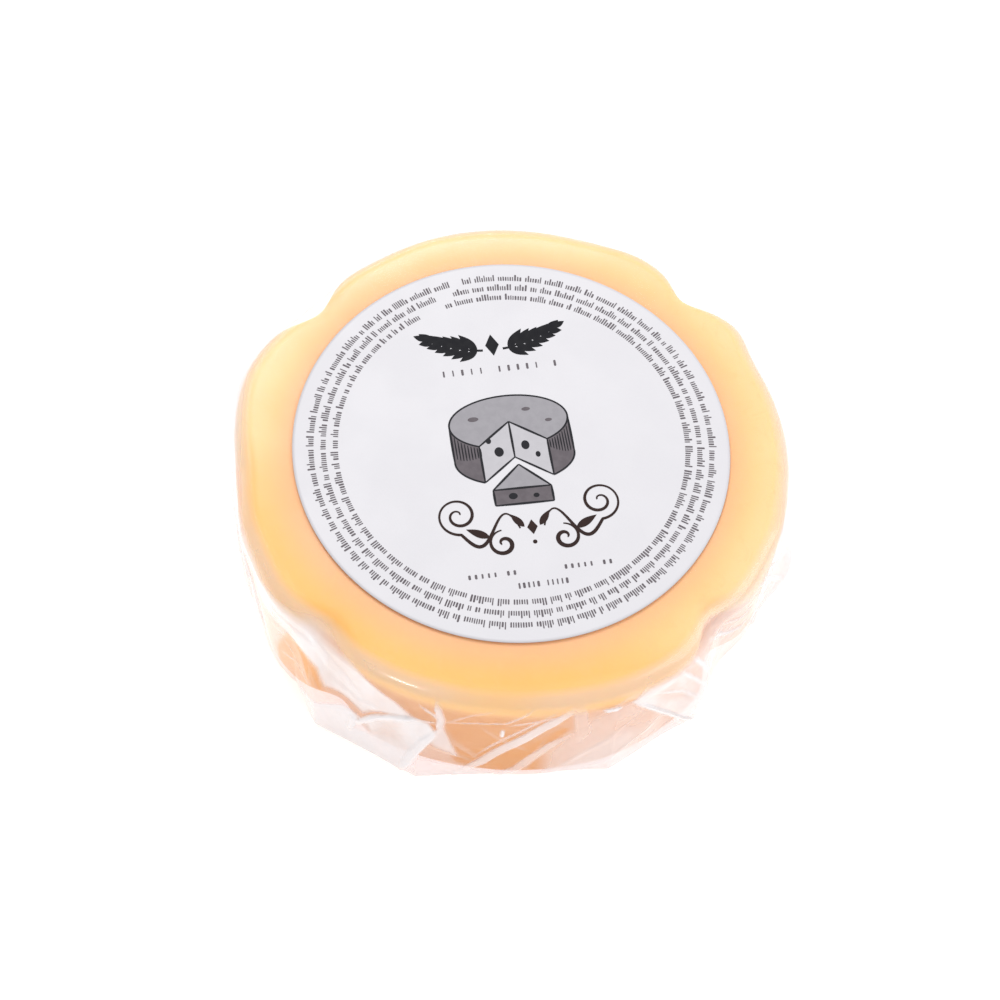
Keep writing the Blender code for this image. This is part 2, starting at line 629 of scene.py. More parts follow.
@dataclass(frozen=True)
class PaperFinish:
    """Smooth cool-white label paper with a faint fibre."""

    colour: Colour = (0.642, 0.633, 0.664, 1.0)
    shaded: Colour = (0.618, 0.609, 0.642, 1.0)

    def build(self) -> bpy.types.Material:
        """Make the material.

        Returns:
            The material.
        """
        material, sketch, output = new_material("label_paper")
        where = sketch.add("TexCoord").outputs["Object"]
        mottle = MottleGroup.place(sketch, where, 90.0, 2400.0, 0.6)
        shade = sketch.maths("MULTIPLY", mottle.outputs["Cloud"], 0.25)
        colour = sketch.blend(shade, self.colour, self.shaded)
        rough = sketch.maths("MULTIPLY_ADD", mottle.outputs["Cloud"], 0.10, 0.44)
        bump = sketch.add("Bump", Strength=0.12, Distance=0.0001)
        sketch.feed(bump, "Height", mottle.outputs["Height"])
        shader = sketch.add("BsdfPrincipled")
        sketch.feed(shader, "Base Color", colour)
        sketch.feed(shader, "Roughness", rough)
        sketch.feed(shader, "Normal", bump.outputs[0])
        shader.inputs["Specular IOR Level"].default_value = 0.4
        sketch.tree.links.new(shader.outputs[0], output.inputs["Surface"])
        return material


@dataclass(frozen=True)
class InkFinish:
    """Printed ink of one shade, a little uneven over the paper's fibre."""

    name: str
    colour: Colour
    worn: Colour

    def build(self) -> bpy.types.Material:
        """Make the material.

        Returns:
            The material.
        """
        material, sketch, output = new_material(self.name)
        where = sketch.add("TexCoord").outputs["Object"]
        mottle = MottleGroup.place(sketch, where, 700.0, 5200.0, 0.5)
        shade = sketch.maths("MULTIPLY", mottle.outputs["Cloud"], 0.35)
        colour = sketch.blend(shade, self.colour, self.worn)
        rough = sketch.maths("MULTIPLY_ADD", mottle.outputs["Cloud"], 0.15, 0.46)
        shader = sketch.add("BsdfPrincipled")
        shader.inputs["Specular IOR Level"].default_value = 0.12
        sketch.feed(shader, "Base Color", colour)
        sketch.feed(shader, "Roughness", rough)
        sketch.tree.links.new(shader.outputs[0], output.inputs["Surface"])
        return material


# --------------------------------------------------------------------------
# The cheese
# --------------------------------------------------------------------------


@dataclass
class CheeseRound:
    """The round of cheese inside the film."""

    outline: RoundOutline
    finish: CheeseFinish = field(default_factory=CheeseFinish)
    columns: int = 480
    side_rows: int = 34
    gap: float = 0.35

    def profile(self) -> tuple[Array, Array]:
        """Inset and height of each ring, base middle to top middle.

        Returns:
            Arrays of inset from the side and height, in mm.
        """
        shape = self.outline
        low, high = self.gap * 2.0, shape.height - self.gap
        turn = np.linspace(0.0, math.pi / 2.0, 9)
        base_in = shape.base_edge * (1.0 - np.sin(turn))
        base_up = low + shape.base_edge * (1.0 - np.cos(turn))
        rise = np.linspace(base_up[-1], high - shape.top_edge, self.side_rows)[1:-1]
        top_in = shape.top_edge * (1.0 - np.cos(turn))
        top_up = high - shape.top_edge + shape.top_edge * np.sin(turn)
        inset = np.concatenate([base_in, 0.0 * rise, top_in])
        height = np.concatenate([base_up, rise, top_up])
        return inset, height

    def build(self) -> bpy.types.Object:
        """Make the cheese piece.

        Returns:
            The object.
        """
        shape = self.outline
        inset, height = self.profile()
        degrees = np.arange(self.columns) * 360.0 / self.columns
        uneven = Waves(11, 14, 9, 1.2)
        fine = Waves(12, 26, 40, 5.0)
        rings = []
        for back, up in zip(inset, height):
            share = np.full(self.columns, up / shape.height)
            radius = shape.cheese(degrees, share) - back
            radius = radius + 0.13 * uneven.at(degrees, share) + 0.05 * fine.at(degrees, share)
            rings.append((radius, up + 0.0 * radius))
        base_radius, base_up = rings[0]
        top_radius, top_up = rings[-1]
        inward = np.linspace(0.97, 0.06, 16)
        lower = [(base_radius * s, base_up + 0.10 * (1.0 - s)) for s in inward[::-1]]
        dome = Waves(13, 10, 4, 1.0)
        upper = []
        for s in inward:
            swell = 0.06 * dome.at(degrees, np.full(self.columns, s)) * (1.0 - s**6)
            upper.append((top_radius * s, top_up + swell * s))
        rings = lower + rings + upper
        points = np.concatenate([shape.place(r, degrees, z) for r, z in rings])
        faces = closed_faces(len(rings), self.columns)
        top_middle = Vector((shape.label_x, shape.label_y, shape.height)) * MM
        piece = mesh_piece("cheese_round", points, faces, self.finish.build(top_middle))
        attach(piece, "root")
        return piece


# --------------------------------------------------------------------------
# The film
# --------------------------------------------------------------------------


@dataclass(frozen=True)
class FilmBand:
    """A strip of creased or doubled film along a path of angles and height shares.

    Width, lift and soft edge are in mm, and haze is how milky the strip is; strips at full haze also
    stand in as painted highlights.
    """

    path: tuple[tuple[float, float], ...]
    width: float
    lift: float
    haze: float
    soft: float = 0.35

    def cover(self, degrees: Array, up: Array, tall: float) -> Array:
        """How far the strip covers each point.

        Args:
            degrees: angle.
            up: height in mm.
            tall: height of the round in mm.

        Returns:
            Mask from 0 to 1, crisp on one side and softer on the other.
        """
        start = self.path[0][0]
        knots = [(folded(np.array(a - start)) * ARC, share * tall) for a, share in self.path]
        x, y = folded(degrees - start) * ARC, up
        spans = [math.hypot(b[0] - a[0], b[1] - a[1]) for a, b in zip(knots[:-1], knots[1:])]
        total = sum(spans)
        nearest = np.full(np.shape(x + y), 1e3)
        side, along, done = 0.0 * nearest, 0.0 * nearest, 0.0
        for (ax, ay), (bx, by), span in zip(knots[:-1], knots[1:], spans):
            run = np.clip(((x - ax) * (bx - ax) + (y - ay) * (by - ay)) / span**2, 0.0, 1.0)
            dx, dy = x - ax - run * (bx - ax), y - ay - run * (by - ay)
            away = np.hypot(dx, dy)
            closer = away < nearest
            nearest = np.where(closer, away, nearest)
            side = np.where(closer, (bx - ax) * dy - (by - ay) * dx, side)
            along = np.where(closer, (done + run * span) / total, along)
            done += span
        taper = np.clip(np.minimum(along, 1.0 - along) / 0.22, 0.0, 1.0)
        half = 0.5 * self.width * (0.35 + 0.65 * taper)
        soft = self.soft * np.where(side > 0.0, 1.0, 2.4)
        mask = np.clip((half - nearest) / soft + 0.5, 0.0, 1.0)
        return mask * mask * (3.0 - 2.0 * mask) * (0.4 + 0.6 * taper)


@dataclass(frozen=True)
class FilmPatch:
    """A flat area of film between corners given as angles and height shares.

    Haze is how milky it is, soft its edge and push how far it stands out, in mm.
    """

    corners: tuple[tuple[float, float], ...]
    haze: float
    soft: float = 0.8
    push: float = 0.0

    def cover(self, degrees: Array, up: Array, tall: float) -> Array:
        """How far the area covers each point.

        Args:
            degrees: angle.
            up: height in mm.
            tall: height of the round in mm.

        Returns:
            Mask from 0 to 1.
        """
        start = self.corners[0][0]
        spots = [(float(folded(np.array(a - start))) * ARC, s * tall) for a, s in self.corners]
        x, y = folded(degrees - start) * ARC + 0.0 * up, up + 0.0 * degrees
        nearest = np.full(np.shape(x), 1e3)
        inside = np.zeros(np.shape(x), dtype=bool)
        for (ax, ay), (bx, by) in zip(spots, spots[1:] + spots[:1]):
            span = (bx - ax) ** 2 + (by - ay) ** 2 + 1e-9
            run = np.clip(((x - ax) * (bx - ax) + (y - ay) * (by - ay)) / span, 0.0, 1.0)
            away = np.hypot(x - ax - run * (bx - ax), y - ay - run * (by - ay))
            nearest = np.minimum(nearest, away)
            if ay != by:
                crosses = (ay > y) != (by > y)
                inside ^= crosses & (x < (bx - ax) * (y - ay) / (by - ay) + ax)
        depth = np.where(inside, nearest, -nearest)
        mask = np.clip(depth / (2.0 * self.soft) + 0.5, 0.0, 1.0)
        return mask * mask * (3.0 - 2.0 * mask)


@dataclass
class FilmWrap:
    """Clear film around the round: tight on top, pleated down the side, gathered below."""

    outline: RoundOutline
    finish: FilmFinish = field(default_factory=FilmFinish)
    columns: int = 800
    side_rows: int = 84
    clearance: float = 0.38
    bridge: float = 0.45
    low_edge: float = 1.0
    pleats: tuple[tuple[float, float, float, float, float], ...] = (
        (347.5, 0.56, 3.9, 4.2, 0.28),
        (172.0, 0.78, 1.5, 9.0, 0.20),
        (236.0, 0.46, 1.8, 4.5, 0.34),
        (316.0, 0.40, 1.5, 4.0, 0.30),
        (116.0, 0.74, 0.9, 8.0, 0.22),
        (147.0, 0.80, 0.8, 4.0, 0.25),
        (60.0, 0.45, 1.0, 6.0, 0.30),
        (88.0, 0.35, 1.1, 5.0, 0.28),
    )
    doubled: tuple[tuple[float, float, float], ...] = (
        (313.0, 13.0, 0.20),
        (335.0, 14.0, 0.14),
        (205.0, 14.0, 0.42),
        (150.0, 14.0, 0.42),
        (55.0, 9.0, 0.24),
        (100.0, 12.0, 0.18),
        (355.0, 12.0, 0.26),
        (180.0, 16.0, 0.40),
    )
    patches: tuple[FilmPatch, ...] = (
        FilmPatch(
            ((216.0, 0.80), (226.5, 0.66), (222.6, 0.32), (222.9, 0.14), (216.0, 0.20)), 0.62, 1.6
        ),
        FilmPatch(
            (
                (226.5, 0.67),
                (222.6, 0.32),
                (222.9, 0.14),
                (231.4, 0.23),
                (235.5, 0.30),
                (242.2, 0.44),
                (238.4, 0.52),
                (236.0, 0.66),
                (230.5, 0.64),
            ),
            0.24,
            0.7,
        ),
        FilmPatch(((228.4, 0.63), (236.0, 0.64), (238.2, 0.50), (233.4, 0.48)), 0.04, 0.6),
        FilmPatch(((229.0, 0.33), (236.0, 0.38), (242.0, 0.45), (235.0, 0.30)), 0.12, 0.5),
        FilmPatch(
            (
                (214.0, 0.86),
                (224.6, 0.97),
                (233.9, 1.00),
                (240.0, 1.00),
                (244.9, 0.92),
                (248.7, 0.86),
                (253.5, 0.79),
                (257.0, 0.69),
                (250.0, 0.60),
                (246.5, 0.48),
                (241.2, 0.56),
                (238.3, 0.57),
                (236.0, 0.68),
                (229.7, 0.67),
                (226.5, 0.69),
                (216.0, 0.66),
            ),
            0.80,
            0.8,
        ),
        FilmPatch(
            (
                (229.5, 0.10),
                (235.5, 0.30),
                (242.2, 0.44),
                (246.5, 0.41),
                (250.0, 0.56),
                (256.0, 0.68),
                (260.0, 0.68),
                (261.8, 0.55),
                (255.7, 0.04),
                (256.0, -0.1),
                (238.4, -0.1),
            ),
            0.84,
            0.5,
            0.25,
        ),
        FilmPatch(((243.5, 0.22), (249.0, 0.26), (247.6, 0.42), (245.6, 0.40)), 0.55, 0.7),
        FilmPatch(((249.0, 0.30), (254.0, 0.34), (255.0, 0.58), (250.6, 0.52)), 0.70, 1.6),
        FilmPatch(((262.5, 0.73), (266.2, 0.30), (260.4, 0.40)), 0.66, 0.45, 0.2),
        FilmPatch(((257.5, 0.26), (265.0, 0.22), (275.0, 0.02), (258.0, 0.02)), 0.46, 1.5),
        FilmPatch(((256.6, 0.24), (260.6, 0.46), (264.8, 0.36), (265.5, 0.18)), 0.34, 0.8),
        FilmPatch(((263.5, 0.66), (273.6, 0.68), (271.5, 0.38), (266.4, 0.42)), 0.07, 1.0),
        FilmPatch(((274.6, 0.30), (278.5, 0.44), (285.4, 0.70), (287.0, 0.68), (281.0, 0.30)), 0.02, 0.9),
        FilmPatch(
            ((291.5, 0.84), (299.2, 0.84), (305.0, 0.58), (316.0, 0.0), (283.0, -0.1), (283.0, 0.34)),
            0.44,
            2.2,
        ),
        FilmPatch(((296.0, 0.48), (306.0, 0.40), (314.0, -0.1), (282.0, -0.1)), 0.60, 3.0),
        FilmPatch(((290.0, 0.96), (296.0, 0.96), (299.5, 0.86), (293.0, 0.88)), 0.06, 1.0),
        FilmPatch(
            ((299.2, 0.84), (302.5, 0.93), (309.9, 0.90), (316.7, 0.50), (317.7, -0.05)), 0.78, 0.5, 0.3
        ),
        FilmPatch(((303.5, 0.80), (309.0, 0.82), (313.5, 0.45), (307.5, 0.60)), 0.62, 1.2),
        FilmPatch(((309.9, 0.92), (318.4, 0.92), (331.0, 0.60), (331.0, 0.20), (317.0, 0.3)), 0.54, 2.5),
        FilmPatch(((331.0, 0.92), (345.0, 0.92), (345.0, 0.20), (331.0, 0.20)), 0.46, 2.5),
    )
    # Strips at or near full haze along crease edges are partly painted highlights.
    bands: tuple[FilmBand, ...] = (
        FilmBand(((217.0, 0.76), (226.0, 0.80), (235.0, 0.80)), 2.6, 0.35, 0.80, 1.2),
        FilmBand(((231.0, 0.90), (237.0, 0.82), (242.0, 0.72), (246.5, 0.58)), 2.8, 0.40, 0.88, 1.0),
        FilmBand(((238.5, 0.66), (245.0, 0.56), (251.5, 0.64)), 2.0, 0.35, 0.82, 0.8),
        FilmBand(
            ((244.4, 0.27), (248.5, 0.48), (252.6, 0.61), (256.3, 0.68), (261.0, 0.70)),
            1.3, 1.0, 0.98,
        ),
        # Painted glint: a short strip at full haze.
        FilmBand(((245.0, 0.42), (244.4, 0.28), (243.8, 0.18)), 1.3, 0.9, 0.98, 0.25),
        FilmBand(((255.0, -0.02), (257.4, 0.28), (259.6, 0.47), (261.9, 0.62)), 1.7, 1.1, 1.00, 0.3),
        FilmBand(((261.9, 0.60), (262.4, 0.76), (261.0, 0.95)), 1.3, 0.6, 0.70),
        FilmBand(((258.0, 0.86), (261.0, 0.80), (262.6, 0.72)), 0.9, 0.4, 0.55),
        FilmBand(
            ((262.6, 0.73), (268.7, 0.77), (274.6, 0.79), (278.0, 0.90), (280.9, 0.99)),
            0.6, 0.5, 0.50, 0.25,
        ),
        FilmBand(((263.0, 0.72), (268.0, 0.87), (273.0, 0.94)), 0.6, 0.3, 0.34),
        FilmBand(((274.6, 0.75), (280.2, 0.81), (285.4, 0.87)), 0.7, 0.4, 0.44, 0.25),
        # Painted glint: a short strip at full haze.
        FilmBand(((274.1, 0.70), (274.1, 0.58)), 0.6, 0.8, 0.98, 0.2),
        FilmBand(
            ((265.0, 0.00), (272.2, 0.32), (277.7, 0.55), (282.9, 0.77), (287.0, 0.92), (289.3, 0.99)),
            2.4, 0.9, 0.66,
        ),
        FilmBand(((269.0, 0.30), (274.5, 0.56), (279.5, 0.76), (284.0, 0.92)), 0.7, 0.3, 0.46, 0.25),
        FilmBand(
            ((272.0, -0.04), (277.9, 0.13), (281.1, 0.32), (284.0, 0.47), (287.6, 0.60)),
            2.2, 0.6, 0.52, 0.6,
        ),
        FilmBand(((288.2, 0.99), (288.6, 0.84), (289.7, 0.62), (289.0, 0.46)), 2.6, 0.6, 0.42),
        # Painted glint: a short strip at full haze.
        FilmBand(((293.0, 0.87), (296.6, 0.83)), 1.3, 0.9, 1.00, 0.25),
        FilmBand(((290.6, 0.80), (297.0, 0.90), (303.0, 0.96)), 0.7, 0.3, 0.34),
        FilmBand(((299.0, 0.85), (304.9, 0.58), (311.0, 0.26), (317.7, -0.04)), 1.0, 1.0, 0.98, 0.3),
        FilmBand(((299.4, 0.85), (302.0, 0.94), (310.5, 0.90)), 0.7, 0.5, 0.66, 0.3),
        FilmBand(((304.0, 0.82), (311.0, 0.62), (317.0, 0.34)), 0.7, 0.4, 0.86),
        FilmBand(((309.0, 0.94), (313.5, 0.70), (317.0, 0.50)), 0.8, 0.6, 0.84),
        FilmBand(((312.5, 0.97), (316.0, 0.76), (318.0, 0.60)), 0.9, 0.6, 0.90),
        FilmBand(((318.4, 0.92), (327.0, 0.60), (336.0, 0.40)), 0.8, 0.7, 0.92),
        FilmBand(((322.0, 0.90), (330.0, 0.70), (338.0, 0.62)), 0.7, 0.4, 0.66),
        FilmBand(((284.0, -0.02), (291.0, 0.30), (300.0, 0.60)), 1.4, 0.3, 0.58, 0.9),
        FilmBand(((290.0, 0.00), (299.0, 0.26), (309.0, 0.44)), 1.6, 0.3, 0.62, 0.9),
        FilmBand(((334.0, 0.94), (341.0, 0.70), (346.0, 0.50)), 1.1, 0.6, 0.80),
        FilmBand(((205.0, 0.90), (211.0, 0.55), (217.0, 0.10)), 1.5, 0.7, 0.80),
        FilmBand(((199.0, 0.75), (206.0, 0.35), (207.0, 0.00)), 1.3, 0.7, 0.76),
        FilmBand(((224.0, 0.56), (229.0, 0.42), (236.0, 0.44)), 0.5, 0.3, 0.52),
        FilmBand(((223.6, 0.30), (228.0, 0.38), (232.0, 0.36)), 0.5, 0.3, 0.60),
    )
    creases: tuple[list[FilmPatch], list[FilmBand]] = field(init=False)

    def random_folds(self) -> tuple[list[FilmPatch], list[FilmBand]]:
        """Lesser areas and creases, spread over the side.

        Returns:
            Seeded areas and bands, fewer of them where the larger folds lie.
        """
        draw = np.random.default_rng(47)
        patches, bands = [], []
        for index in range(24):
            middle, level = -10.0 + 9.0 * index + draw.normal(0.0, 2.0), draw.uniform(0.15, 0.80)
            wide, tall = draw.uniform(4.0, 11.0), draw.uniform(0.14, 0.36)
            lean, tip = draw.normal(0.0, 5.0), draw.uniform(0.0, 0.12)
            corners = (
                (middle - wide + lean, level + tall),
                (middle + wide + lean, level + tall - tip),
                (middle + 0.6 * wide - lean, level - tall),
                (middle - 0.6 * wide - lean, level - tall + tip),
            )
            patches.append(FilmPatch(corners, draw.uniform(0.22, 0.60), draw.uniform(1.2, 3.0), 0.1))
        for index in range(15):
            apex = -12.0 + 14.5 * index + draw.normal(0.0, 3.0)
            high = index % 3 != 1
            top, foot = draw.uniform(0.86, 0.99), draw.uniform(-0.05, 0.10)
            spread, lean = draw.uniform(7.0, 17.0), draw.normal(0.0, 6.0)
            arms = int(draw.integers(3, 6))
            ends = apex + lean + spread * (np.linspace(-1.0, 1.0, arms) + draw.normal(0.0, 0.15, arms))
            for end in ends:
                far = draw.uniform(0.0, 0.45) if high else draw.uniform(0.55, 0.98)
                near = top if high else foot
                bow = draw.normal(0.0, 0.9)
                path = (
                    (float(apex), near),
                    (float(apex * 0.45 + end * 0.55 + bow), near * 0.45 + far * 0.55),
                    (float(end), far),
                )
                size = draw.uniform(0.1, 1.0)
                wide, haze = 0.6 + 1.7 * size**2, 0.45 + 0.30 * size
                bands.append(FilmBand(path, wide, 0.4 + 0.7 * size, haze, 0.5))
            if arms > 3:
                near, far = (top, 0.25) if high else (foot, 0.75)
                sheet = ((apex, near), (ends[0], far), (ends[1], far + 0.08))
                patches.append(FilmPatch(sheet, draw.uniform(0.45, 0.70), 0.6, 0.2))
        for _ in range(70):
            start = draw.uniform(0.0, 360.0)
            low, rise = draw.uniform(-0.05, 0.65), draw.uniform(0.2, 0.6)
            lean, bow = draw.normal(0.0, 9.0), draw.normal(0.0, 1.2)
            high = min(low + rise, 0.97)
            path = (
                (start, low),
                (start + 0.5 * lean + bow, (low + high) / 2.0),
                (start + lean, high),
            )
            size = draw.uniform(0.2, 1.0)
            bands.append(FilmBand(path, 0.5 + 0.6 * size, 0.12, 0.06 + 0.16 * size, 0.5))
        return patches, bands

    def facets(self, degrees: Array, share: Array) -> Array:
        """Flat-faced crumple of stiff film.

        Args:
            degrees: angle.
            share: share of the height.

        Returns:
            Height of the crumple, about -1 to 1.
        """
        draw = np.random.default_rng(5)
        along = degrees * 0.9
        up = share * self.outline.height
        total = 0.0 * (along + up)
        for period in (23.0, 17.0, 12.0, 9.0, 6.5):
            tilt = draw.uniform(-0.9, 0.9)
            turns = max(1, round(324.0 * math.cos(tilt) / period))
            phase = turns * along / 324.0 + up * math.sin(tilt) / period + draw.uniform()
            bend = 0.18 * np.sin(np.radians(degrees) * draw.integers(3, 9) + up * 0.21)
            wave = np.abs(((phase + bend) % 1.0) * 2.0 - 1.0) * 2.0 - 1.0
            total = total + wave * period / 23.0
        return total / 2.4

    def side(self, degrees: Array, share: Array) -> tuple[Array, Array]:
        """Radius and milkiness of the film on the side.

        Args:
            degrees: angle.
            share: share of the height.

        Returns:
            Radius in mm, and haze from 0 to 1.
        """
        shape = self.outline
        inner = shape.cheese(degrees, share) + self.clearance
        tight = shape.cheese(degrees, share, self.bridge) + self.clearance
        loose = np.maximum(shape.footprint(degrees), tight)
        slack = np.clip(1.0 - share, 0.0, 1.0) ** 1.2
        radius = tight + (loose - tight) * slack
        for angle, level, reach, width, rise in self.pleats:
            around = (folded(degrees - angle) / width) ** 2
            upward = ((share - level) / rise) ** 2
            radius = radius + reach * np.exp(-around - upward)
        body = np.clip((0.97 - share) / 0.16, 0.0, 1.0) * np.clip(share / 0.06, 0.0, 1.0)
        radius = radius + 0.34 * body * self.facets(degrees, share)
        eased = np.clip((1.0 - share) / 0.08, 0.0, 1.0)
        up = share * shape.height
        patches, bands = self.creases
        haze = self.veil(degrees, share)
        for patch in patches:
            mask = patch.cover(degrees, up, shape.height)
            radius = radius + 0.7 * patch.push * mask * eased
            haze = haze + (patch.haze - haze) * mask
        for band in bands:
            mask = band.cover(degrees, up, shape.height)
            radius = radius + 0.42 * band.lift * mask**2 * eased
            haze = np.maximum(haze, haze + (band.haze - haze) * mask)
        foot = np.exp(-((share / 0.07) ** 2))
        haze = haze + (0.80 - haze) * 0.5 * foot
        # Painted glare from the rounded top edge, carried down over the top of the side.
        high = np.clip((share - 0.80) / 0.10, 0.0, 1.0) * np.ones(np.shape(haze))
        haze = haze + np.maximum(self.rim_haze_and_glare(degrees, 1.0) - haze, 0.0) * high
        return np.maximum(radius, inner), haze

    def veil(self, degrees: Array, share: Array) -> Array:
        """Even milkiness of the film, more where it is doubled over.

        Args:
            degrees: angle.
            share: share of the height.

        Returns:
            Haze from 0 to 1.
        """
        drift = Waves(35, 9, 7, 0.8).at(degrees, share)
        haze = 0.27 + 0.08 * drift
        haze = haze - 0.24 * np.exp(-((folded(degrees - 274.0) / 20.0) ** 2))
        for angle, width, extra in self.doubled:
            haze = haze + extra * np.exp(-((folded(degrees - angle) / width) ** 2))
        return np.clip(haze, 0.03, 1.0)

    def rim_haze_and_glare(self, degrees: Array, ease: float) -> Array:
        """Milkiness over the rounded top edge, mostly painted glare: it rises towards the back and at 110
        and 322 degrees, standing in for bright surroundings reflected on the film, while the rise at 234
        degrees is the film bridging the groove.

        Args:
            degrees: angle.
            ease: 0 on the flat top and 1 where the side starts.

        Returns:
            Haze from 0 to 1.
        """
        # Painted glare, strongest towards the back of the round.
        glare_behind = 0.5 - 0.5 * np.cos(np.radians(folded(degrees - 268.0)))
        front = 0.31 - 0.15 * np.exp(-((folded(degrees - 273.0) / 8.0) ** 2))
        front = front * min(ease / 0.45, 1.0) * min(max((0.97 - ease) / 0.16, 0.0), 1.0)
        strength = 0.62 * np.clip(glare_behind * 2.2 - 0.1, 0.0, 1.0)
        strength = strength + 0.50 * np.exp(-((folded(degrees - 234.0) / 9.0) ** 2))
        strength = strength + 0.28 * np.exp(-((folded(degrees - 322.0) / 12.0) ** 2))
        strength = strength + 0.16 * np.exp(-((folded(degrees - 110.0) / 45.0) ** 2))
        return np.maximum(strength * min(ease * 1.3, 1.0), front)

    def base_rings(self, degrees: Array) -> list[tuple[Array, Array, Array]]:
        """Gathered underside and rounded lower edge, from the middle out.

        Args:
            degrees: angle of each column.

        Returns:
            Radius, height and haze of each ring.
        """
        shape = self.outline
        rings = []
        wave = Waves(31, 30, 60, 2.0)
        pleat = np.abs(np.sin(np.radians(degrees) * 31.0 + 2.0 * wave.at(degrees, 0.0 * degrees)))
        start, start_haze = self.side(degrees, np.full(self.columns, self.low_edge / shape.height))
        for s in np.linspace(0.05, 0.985, 16):
            gather = (1.0 - pleat) * (1.0 - 0.45 * s) * np.clip((1.0 - s) / 0.06, 0.0, 1.0)
            haze = 0.22 + 0.30 * (1.0 - s) ** 1.5 + 0.25 * (1.0 - pleat) ** 2
            rings.append(((start - self.low_edge) * s, 0.02 + 0.30 * gather, haze))
        for angle in np.linspace(0.0, math.pi / 2.0, 7)[:-1]:
            back = self.low_edge * (1.0 - math.sin(angle))
            up = 0.02 + self.low_edge * (1.0 - math.cos(angle))
            rings.append((start - back, up + 0.0 * start, start_haze + 0.2))
        return rings

    def side_rings(self, degrees: Array) -> list[tuple[Array, Array, Array]]:
        """Upright side and rounded upper edge, from the bottom up.

        Args:
            degrees: angle of each column.

        Returns:
            Radius, height and haze of each ring.
        """
        shape = self.outline
        rings = []
        for up in np.linspace(self.low_edge, shape.height - shape.top_edge, self.side_rows):
            radius, haze = self.side(degrees, np.full(self.columns, up / shape.height))
            rings.append((radius, up + 0.0 * radius, haze))
        for angle in np.linspace(0.0, math.pi / 2.0, 12)[1:]:
            up = shape.height - shape.top_edge * (1.0 - math.sin(angle)) - 0.02
            radius, haze = self.side(degrees, np.full(self.columns, up / shape.height))
            radius = radius - shape.top_edge * (1.0 - math.cos(angle))
            ease = math.cos(angle)
            keep = max(0.0, 1.0 - ((1.0 - ease) / 0.22)) if ease < 1.0 else 1.0
            # Blend towards the painted glare of the rounded top edge.
            haze = haze * keep + (1.0 - keep) * self.rim_haze_and_glare(degrees, ease)
            rings.append((radius, up + 0.0 * radius, haze))
        return rings

    def top_rings(
        self, degrees: Array, edge_radius: Array, edge_up: Array
    ) -> list[tuple[Array, Array, Array]]:
        """Tight flat top, from its edge inwards.

        Args:
            degrees: angle of each column.
            edge_radius: radius where the flat top starts.
            edge_up: height there.

        Returns:
            Radius, height and haze of each ring.
        """
        rings = []
        flat = Waves(33, 12, 5, 1.0)
        glare = np.exp(-((folded(degrees - 112.0) / 52.0) ** 2))
        for s in (0.98, 0.95, 0.90, 0.84, 0.76, 0.60, 0.35, 0.08):
            lift = 0.03 * flat.at(degrees, np.full(self.columns, s)) * (1.0 - s)
            spread = max(0.0, (s - 0.88) / 0.12) ** 1.5
            rings.append((edge_radius * s, edge_up + lift, 0.22 * spread * glare))
        return rings

    def build(self) -> bpy.types.Object:
        """Make the film piece.

        Returns:
            The object.
        """
        shape = self.outline
        patches, bands = self.random_folds()
        self.creases = (patches + list(self.patches), bands + list(self.bands))
        dense = round(self.columns * 0.6)
        front = np.linspace(200.0, 345.0, dense, endpoint=False)
        rest = np.linspace(345.0, 560.0, self.columns - dense, endpoint=False) % 360.0
        degrees = np.sort(np.concatenate([front, rest]))
        rings = self.base_rings(degrees) + self.side_rings(degrees)
        edge_radius, edge_up, _ = rings[-1]
        rings += self.top_rings(degrees, edge_radius, edge_up)
        points = np.concatenate([shape.place(r, degrees, z) for r, z, _ in rings])
        haze = np.concatenate([h for _, _, h in rings]).clip(0.0, 1.0)
        faces = closed_faces(len(rings), self.columns)
        piece = mesh_piece("film_wrap", points, faces, self.finish.build())
        layer = piece.data.attributes.new("haze", "FLOAT", "POINT")
        layer.data.foreach_set("value", haze.astype(np.float32))
        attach(piece, "root")
        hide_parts("wrapped_cheese")
        return piece


# --------------------------------------------------------------------------
# The label
# --------------------------------------------------------------------------


@dataclass
class PaperLabel:
    """Round paper label, lying on the film with a barely lifted edge."""

    outline: RoundOutline
    radius: float = 40.0
    thickness: float = 0.08
    turn: float = 14.5
    columns: int = 360
    finish: PaperFinish = field(default_factory=PaperFinish)

    @property
    def floor(self) -> float:
        """Height of the paper's underside in mm."""
        return self.outline.height + 0.05

    def surface(self, radius: Array, degrees: Array) -> Array:
        """Height of the paper's upper face in mm at a radius and an angle."""
        curl = 0.01 * np.clip((radius - 34.0) / 6.0, 0.0, 1.0) ** 2
        wave = 0.02 * np.sin(np.radians(degrees) * 3.0 + 0.7) * (radius / 40.0) ** 2
        return self.floor + self.thickness + curl * (1.0 + np.sin(np.radians(degrees) * 5.0)) + wave

    def build(self) -> bpy.types.Object:
        """Make the label piece.

        Returns:
            The object.
        """
        shape = self.outline
        degrees = np.arange(self.columns) * 360.0 / self.columns
        rings: list[Array] = []
        steps = np.concatenate([np.linspace(0.05, 0.9, 20), np.linspace(0.92, 1.0, 6)])
        for s in steps:
            radius = np.full(self.columns, self.radius * s)
            under = self.surface(radius, degrees) - self.thickness
            rings.append(shape.place(radius, degrees, under))
        for s in steps[::-1]:
            radius = np.full(self.columns, self.radius * s)
            rings.append(shape.place(radius, degrees, self.surface(radius, degrees)))
        faces = closed_faces(len(rings), self.columns)
        piece = mesh_piece("paper_label", np.concatenate(rings), faces, self.finish.build())
        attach(piece, "root")
        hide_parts("label")
        return piece


